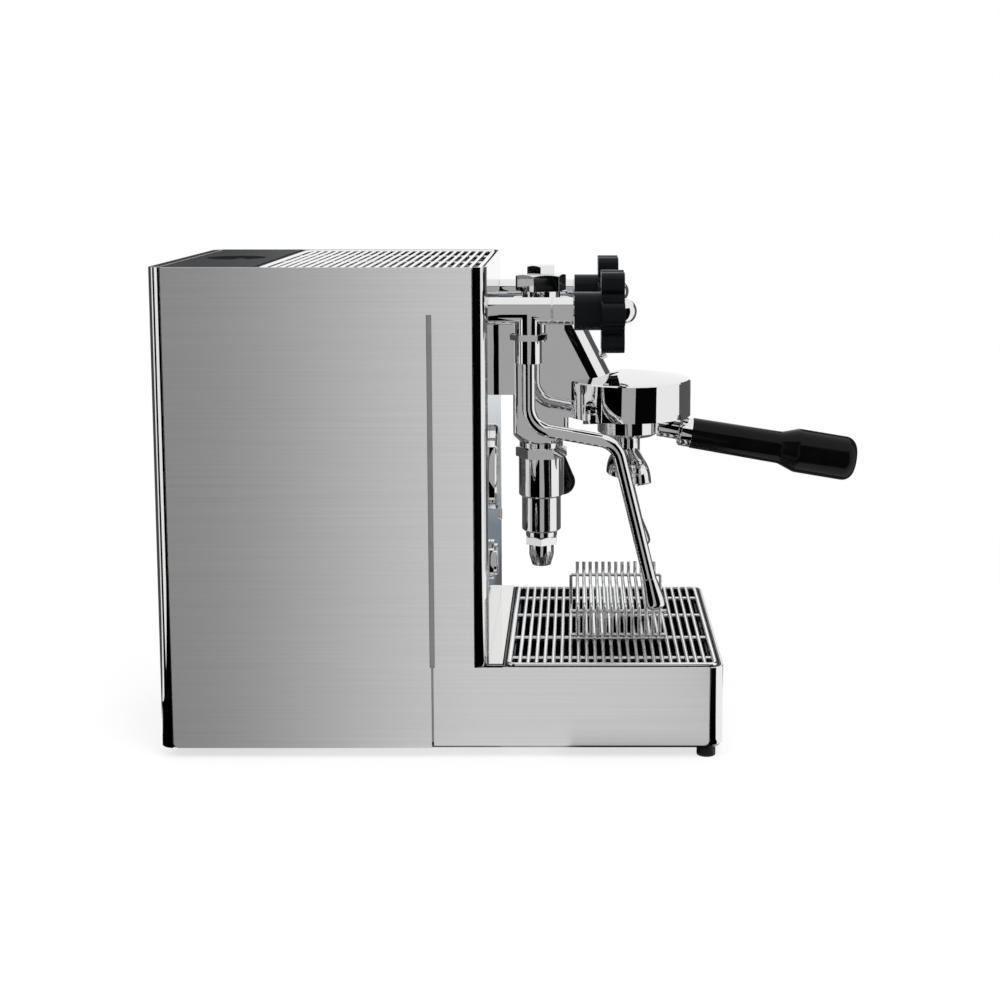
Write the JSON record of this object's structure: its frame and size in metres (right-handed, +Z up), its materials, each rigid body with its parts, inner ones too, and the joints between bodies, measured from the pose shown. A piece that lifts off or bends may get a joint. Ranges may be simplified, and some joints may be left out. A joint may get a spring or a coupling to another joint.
{
  "type": "espresso machine",
  "caption": "Steel espresso machine with a lever group and portafilter, steam and water wands, cup rack, lift-out tank and pull-out drip tray.",
  "frame": {"origin": "on the worktop, under the middle of the machine's box, handle included", "axes": "+X from the rear panel to the front, +Y to the user's right, +Z up"},
  "size_m": [0.5292, 0.2368, 0.3615],
  "materials": {
    "brushed_steel": "brushed",
    "polished_steel": "mirror polished",
    "chrome": "mirror polished",
    "steel_wire": "polished wire",
    "inner_steel": "plain sheet",
    "black_lid": "fine satin",
    "black_knob": "gloss",
    "black_handle": "gloss",
    "rubber": "matte",
    "tank_plastic": "clear",
    "dial_white": "matte",
    "needle_black": "matte",
    "gauge_glass": "clear",
    "lamp_lens": "clear",
    "copper": "drawn",
    "pump_metal": "satin",
    "box_plastic": "matte"
  },
  "bodies": {
    "machine": {"base_plate": "inner_steel", "rear_panel": "polished_steel", "left_side_panel": "brushed_steel", "right_side_panel": "brushed_steel", "front_panel": "polished_steel", "feet": "rubber", "tank_shelf": "inner_steel", "cup_tray": "polished_steel", "group_body": "chrome", "bleed_screw": "chrome", "group_top_nut": "chrome", "group_cap": "chrome", "infusion_chamber": "chrome", "drain_nozzle": "chrome", "group_gasket": "rubber", "shower_screen": "chrome", "cam_gland_nut": "chrome", "steam_valve": "chrome", "water_valve": "chrome", "valve_locknuts": "chrome", "swivel_nuts": "chrome", "gauge_case": "chrome", "gauge_dial": "dial_white", "gauge_glass": "gauge_glass", "button_bezel": "chrome", "pilot_lamp": "lamp_lens", "boiler": "inner_steel", "boiler_cradle": "inner_steel", "heating_element": "copper", "copper_pipes": "copper", "pump": "pump_metal", "control_box": "box_plastic", "power_inlet": "box_plastic"},
    "lever": {"brew_lever": "chrome", "lever_grip": "black_handle"},
    "portafilter": {"portafilter": "chrome", "portafilter_ferrule": "chrome", "portafilter_handle": "black_handle", "double_spout": "chrome", "filter_basket": "chrome"},
    "steam_knob": {"steam_spindle": "chrome", "steam_knob": "black_knob", "steam_knob_cap": "chrome"},
    "water_knob": {"water_spindle": "chrome", "water_knob": "black_knob", "water_knob_cap": "chrome"},
    "steam_wand": {"steam_wand": "chrome", "steam_tip": "chrome"},
    "water_wand": {"water_wand": "chrome", "water_tip": "chrome"},
    "drip_tray": {"drip_tray": "polished_steel", "tray_front": "polished_steel"},
    "drip_grille": {"drip_grille": "steel_wire"},
    "cup_stand": {"cup_stand": "steel_wire"},
    "cup_rack": {"cup_rack": "steel_wire"},
    "water_tank": {"water_tank": "tank_plastic"},
    "tank_lid": {"tank_lid": "black_lid"},
    "power_button": {"power_button": "chrome"},
    "gauge_needle": {"gauge_needle": "needle_black"}
  },
  "joints": [
    {"name": "lever_lift", "type": "hinge", "parent": "machine", "child": "lever", "pos_m": [0.01581, 0.05, 0.24], "axis": [0, -1, 0], "range_deg": [0, 60]},
    {"name": "portafilter_turn", "type": "hinge", "parent": "machine", "child": "portafilter", "pos_m": [0.08461, 0, 0.2384], "axis": [0, 0, 1], "range_deg": [-45, 0]},
    {"name": "steam_knob_turn", "type": "hinge", "parent": "machine", "child": "steam_knob", "pos_m": [0.04181, -0.086, 0.328], "axis": [1, 0, 0], "range_deg": [0, 270]},
    {"name": "water_knob_turn", "type": "hinge", "parent": "machine", "child": "water_knob", "pos_m": [0.04181, 0.086, 0.328], "axis": [1, 0, 0], "range_deg": [0, 270]},
    {"name": "steam_wand_swing", "type": "hinge", "parent": "machine", "child": "steam_wand", "pos_m": [0.00861, -0.086, 0.29], "axis": [0, 0, 1], "range_deg": [-90, 45]},
    {"name": "water_wand_swing", "type": "hinge", "parent": "machine", "child": "water_wand", "pos_m": [0.00861, 0.086, 0.29], "axis": [0, 0, 1], "range_deg": [-22, 78]},
    {"name": "tray_pull", "type": "slide", "parent": "machine", "child": "drip_tray", "axis": [1, 0, 0], "range_m": [0, 0.15]},
    {"name": "grille_lift", "type": "slide", "parent": "drip_tray", "child": "drip_grille", "axis": [0, 0, 1], "range_m": [0, 0.03]},
    {"name": "stand_lift", "type": "slide", "parent": "drip_grille", "child": "cup_stand", "axis": [0, 0, 1], "range_m": [0, 0.05]},
    {"name": "rack_lift", "type": "slide", "parent": "machine", "child": "cup_rack", "axis": [0, 0, 1], "range_m": [0, 0.05]},
    {"name": "tank_lift", "type": "slide", "parent": "machine", "child": "water_tank", "axis": [0, 0, 1], "range_m": [0, 0.19]},
    {"name": "lid_lift", "type": "slide", "parent": "water_tank", "child": "tank_lid", "axis": [0, 0, 1], "range_m": [0, 0.04]},
    {"name": "button_press", "type": "slide", "parent": "machine", "child": "power_button", "axis": [-1, 0, 0], "range_m": [0, 0.003], "stiffness_N_per_m": 300, "springref_m": -0.0015},
    {"name": "gauge_needle_turn", "type": "hinge", "parent": "machine", "child": "gauge_needle", "pos_m": [-0.01479, -0.064, 0.209], "axis": [-1, 0, 0], "range_deg": [0, 270]}
  ]
}
